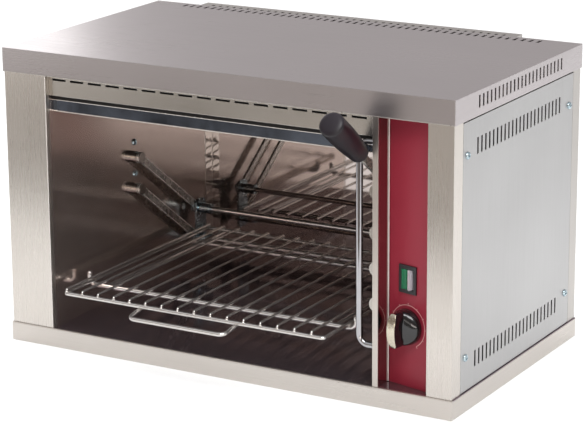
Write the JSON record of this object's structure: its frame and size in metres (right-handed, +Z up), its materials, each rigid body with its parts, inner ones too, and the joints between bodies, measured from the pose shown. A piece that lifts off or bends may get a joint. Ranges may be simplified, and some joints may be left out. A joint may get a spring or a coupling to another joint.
{
  "type": "salamander grill",
  "caption": "Countertop salamander grill: folded stainless casing with an open cavity, a chromed rack on a lever lift under roof heating elements, and a red control recess.",
  "frame": {"origin": "centre of the base's flat bottom face, midway across the lid's width and depth", "axes": "+X to the user's right, +Y to the back of the casing, +Z up"},
  "size_m": [0.6012, 0.457, 0.366],
  "materials": {
    "lid_steel": "brushed stainless sheet",
    "casing_steel": "brushed stainless sheet",
    "cavity_steel": "bright rolled stainless sheet, reflective",
    "rail_steel": "polished, heat tinted stainless",
    "element_metal": "oxidised alloy sheath",
    "hanger_steel": "plain stainless strip",
    "brass": "plain",
    "panel_red": "smooth dark red, satin",
    "switch_black": "satin black",
    "rocker_green": "clear green, glossy",
    "regulator_cream": "moulded thermoset",
    "shaft_steel": "turned",
    "knob_black": "glossy black",
    "knob_metal": "satin",
    "gland_black": "satin black",
    "latch_steel": "bright zinc plated",
    "chrome": "bright chromium plated wire",
    "arm_steel": "bright flat bar",
    "grip_black": "satin black thermoset",
    "zinc": "zinc plated"
  },
  "bodies": {
    "casing": {"base_tray": "casing_steel", "deck": "cavity_steel", "lid": "lid_steel", "left_shell": "casing_steel", "right_post": "casing_steel", "side_panel": "casing_steel", "rear_panel": "casing_steel", "rear_duct": "casing_steel", "cavity_left_wall": "cavity_steel", "cavity_right_wall": "cavity_steel", "cavity_rear_wall": "cavity_steel", "roof_reflector": "cavity_steel", "valance": "cavity_steel", "front_rail": "rail_steel", "heating_elements": "element_metal", "element_terminals": "brass", "element_hangers": "hanger_steel", "control_panel": "panel_red", "switch_body": "switch_black", "regulator": "regulator_cream", "terminal_block": "regulator_cream", "terminal_screws": "brass", "cable_gland": "gland_black", "latch_strip": "latch_steel", "guard_rod": "chrome", "pivot_studs": "latch_steel", "stud_nuts": "zinc", "side_screws": "zinc", "wall_screws": "zinc", "lid_screws": "zinc"},
    "lever": {"lever": "arm_steel", "grip": "grip_black"},
    "arm_upper_right": {"arm_upper_right": "arm_steel"},
    "arm_lower_left": {"arm_lower_left": "arm_steel"},
    "arm_upper_left": {"arm_upper_left": "arm_steel"},
    "carrier": {"coupler_left": "zinc", "coupler_right": "zinc", "cross_rod_upper": "chrome", "cross_rod_lower": "chrome", "rod_collars": "zinc", "rod_nuts": "zinc", "carrier_rods": "chrome", "carrier_pegs": "chrome", "carrier_front_rod": "chrome", "carrier_rear_rod": "chrome"},
    "rack": {"rack_rim": "chrome", "rack_wires": "chrome", "rack_handle": "chrome"},
    "knob": {"knob": "knob_black", "knob_face": "knob_metal", "regulator_shaft": "shaft_steel"},
    "rocker": {"switch_rocker": "rocker_green"}
  },
  "joints": [
    {"name": "lever_lift", "type": "hinge", "parent": "casing", "child": "lever", "pos_m": [0.1855, 0.013, 0.157], "axis": [1, 0, 0], "range_deg": [0, 57]},
    {"name": "upper_right_arm_swing", "type": "hinge", "parent": "casing", "child": "arm_upper_right", "pos_m": [0.1855, 0.013, 0.198], "axis": [1, 0, 0], "range_deg": [0, 57]},
    {"name": "lower_left_arm_swing", "type": "hinge", "parent": "casing", "child": "arm_lower_left", "pos_m": [-0.2295, 0.013, 0.157], "axis": [1, 0, 0], "range_deg": [0, 57]},
    {"name": "upper_left_arm_swing", "type": "hinge", "parent": "casing", "child": "arm_upper_left", "pos_m": [-0.2295, 0.013, 0.198], "axis": [1, 0, 0], "range_deg": [0, 57]},
    {"name": "carrier_level", "type": "hinge", "parent": "lever", "child": "carrier", "pos_m": [0.1855, 0.14616, 0.06025], "axis": [1, 0, 0], "range_deg": [-57, 0]},
    {"name": "rack_slide", "type": "slide", "parent": "carrier", "child": "rack", "axis": [0, -1, 0], "range_m": [0, 0.22]},
    {"name": "knob_turn", "type": "hinge", "parent": "casing", "child": "knob", "pos_m": [0.23414, -0.15102, 0.095], "axis": [-0.2419, -0.9703, 0], "range_deg": [0, 300]},
    {"name": "rocker_tilt", "type": "hinge", "parent": "casing", "child": "rocker", "pos_m": [0.23486, -0.1481, 0.15], "axis": [0, 0, 1], "range_deg": [0, 24]}
  ],
  "couplings": [
    {"joint": "upper_right_arm_swing", "follows": "lever_lift", "ratio": 1},
    {"joint": "lower_left_arm_swing", "follows": "lever_lift", "ratio": 1},
    {"joint": "upper_left_arm_swing", "follows": "lever_lift", "ratio": 1},
    {"joint": "carrier_level", "follows": "lever_lift", "ratio": -1}
  ]
}
